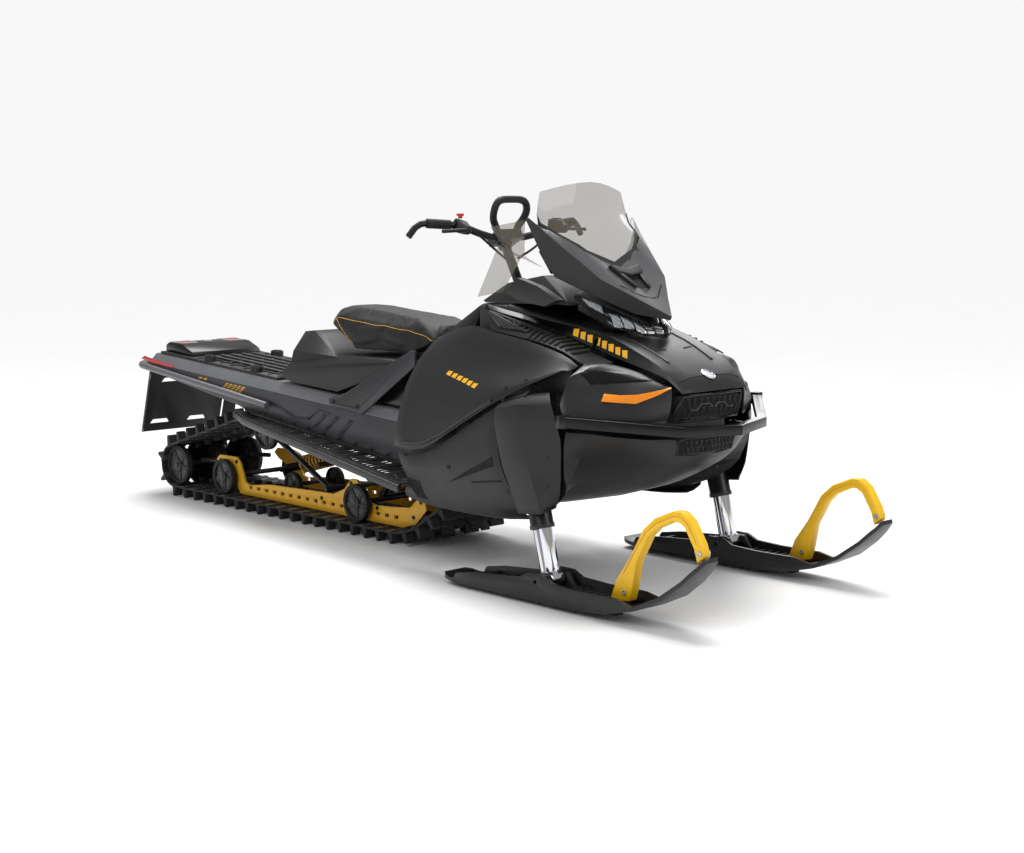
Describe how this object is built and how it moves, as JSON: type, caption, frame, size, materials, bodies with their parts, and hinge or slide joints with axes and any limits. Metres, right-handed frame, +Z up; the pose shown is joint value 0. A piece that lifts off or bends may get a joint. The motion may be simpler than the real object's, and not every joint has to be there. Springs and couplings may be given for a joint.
{
  "type": "snowmobile",
  "caption": "Utility snowmobile for one rider: long lugged track under a tunnel, saddle, enclosed cowl, tall windshield, and two steered skis on telescopic struts.",
  "frame": {"origin": "on the ground, at the centre of the outline seen from above", "axes": "+X forward, +Y to the rider's left, +Z up"},
  "size_m": [3.2638, 0.97, 1.25],
  "materials": {
    "tunnel_paint": "satin",
    "black_metal": "satin",
    "black_plastic": "matte",
    "lamp_housing": "matte",
    "red_lens": "gloss",
    "red_button": "gloss",
    "flap_rubber": "matte",
    "seat_cover": "matte",
    "gauge": "gloss",
    "panel_plastic": "satin",
    "hood_plastic": "satin",
    "bumper_plastic": "gloss",
    "lamp_lens": "gloss",
    "amber_lens": "gloss",
    "smoke_clear": "gloss",
    "engine": "cast",
    "track_rubber": "matte",
    "yellow_rail": "satin",
    "yellow_loop": "satin",
    "wheel_plastic": "satin",
    "shock": "satin",
    "grip_rubber": "matte",
    "chrome": "polished",
    "ski_plastic": "satin"
  },
  "bodies": {
    "chassis": {"tunnel_top": "tunnel_paint", "tunnel_side_right": "tunnel_paint", "tunnel_side_left": "tunnel_paint", "running_board_right": "black_metal", "running_board_left": "black_metal", "rear_bumper": "black_metal", "cargo_deck": "black_plastic", "tail_light": "lamp_housing", "tail_reflectors": "red_lens", "snow_flap": "flap_rubber", "seat_base": "black_plastic", "seat_cushion": "seat_cover", "seat_braces": "black_metal", "fuel_tank": "black_plastic", "console": "black_plastic", "gauge": "gauge", "side_panel_right": "panel_plastic", "side_panel_left": "panel_plastic", "lower_panel_right": "panel_plastic", "lower_panel_left": "panel_plastic", "intake_vents": "black_plastic", "strut_shroud_right": "panel_plastic", "strut_shroud_left": "panel_plastic", "strut_housings": "black_metal", "belly_pan": "panel_plastic", "nose_fenders": "panel_plastic", "hood": "hood_plastic", "nose_grille": "black_plastic", "headlight": "lamp_lens", "lamp_bracket": "black_plastic", "side_reflectors": "amber_lens", "visor": "hood_plastic", "windshield": "smoke_clear", "wind_deflectors": "smoke_clear", "front_bumper": "bumper_plastic", "engine_block": "engine", "track": "track_rubber", "slide_rails": "yellow_rail", "idler_wheels": "wheel_plastic", "drive_axle": "wheel_plastic", "suspension_arms": "black_metal", "suspension_shocks": "shock"},
    "steering": {"handlebar": "black_metal", "grab_loop": "black_metal", "grips": "grip_rubber", "hand_controls": "black_plastic", "stop_button": "red_button"},
    "right_leg": {"strut_right": "chrome"},
    "left_leg": {"strut_left": "chrome"},
    "right_ski": {"ski_right": "ski_plastic", "ski_loop_right": "yellow_loop"},
    "left_ski": {"ski_left": "ski_plastic", "ski_loop_left": "yellow_loop"}
  },
  "joints": [
    {"name": "handlebar_steer", "type": "hinge", "parent": "chassis", "child": "steering", "pos_m": [0.362, 0, 1.062], "axis": [-0.4695, 0, 0.8829], "range_deg": [-35, 35]},
    {"name": "ski_steer_right", "type": "hinge", "parent": "chassis", "child": "right_leg", "pos_m": [1.012, -0.415, 0.072], "axis": [-0.2521, 0, 0.9677], "range_deg": [-30, 30]},
    {"name": "ski_pitch_right", "type": "hinge", "parent": "right_leg", "child": "right_ski", "pos_m": [1.012, -0.415, 0.072], "axis": [0, 1, 0], "range_deg": [-20, 12], "stiffness_Nm_per_rad": 60},
    {"name": "ski_steer_left", "type": "hinge", "parent": "chassis", "child": "left_leg", "pos_m": [1.012, 0.415, 0.072], "axis": [-0.2521, 0, 0.9677], "range_deg": [-30, 30]},
    {"name": "ski_pitch_left", "type": "hinge", "parent": "left_leg", "child": "left_ski", "pos_m": [1.012, 0.415, 0.072], "axis": [0, 1, 0], "range_deg": [-20, 12], "stiffness_Nm_per_rad": 60}
  ],
  "couplings": [
    {"joint": "ski_steer_right", "follows": "handlebar_steer", "ratio": 0.8},
    {"joint": "ski_steer_left", "follows": "handlebar_steer", "ratio": 0.8}
  ]
}
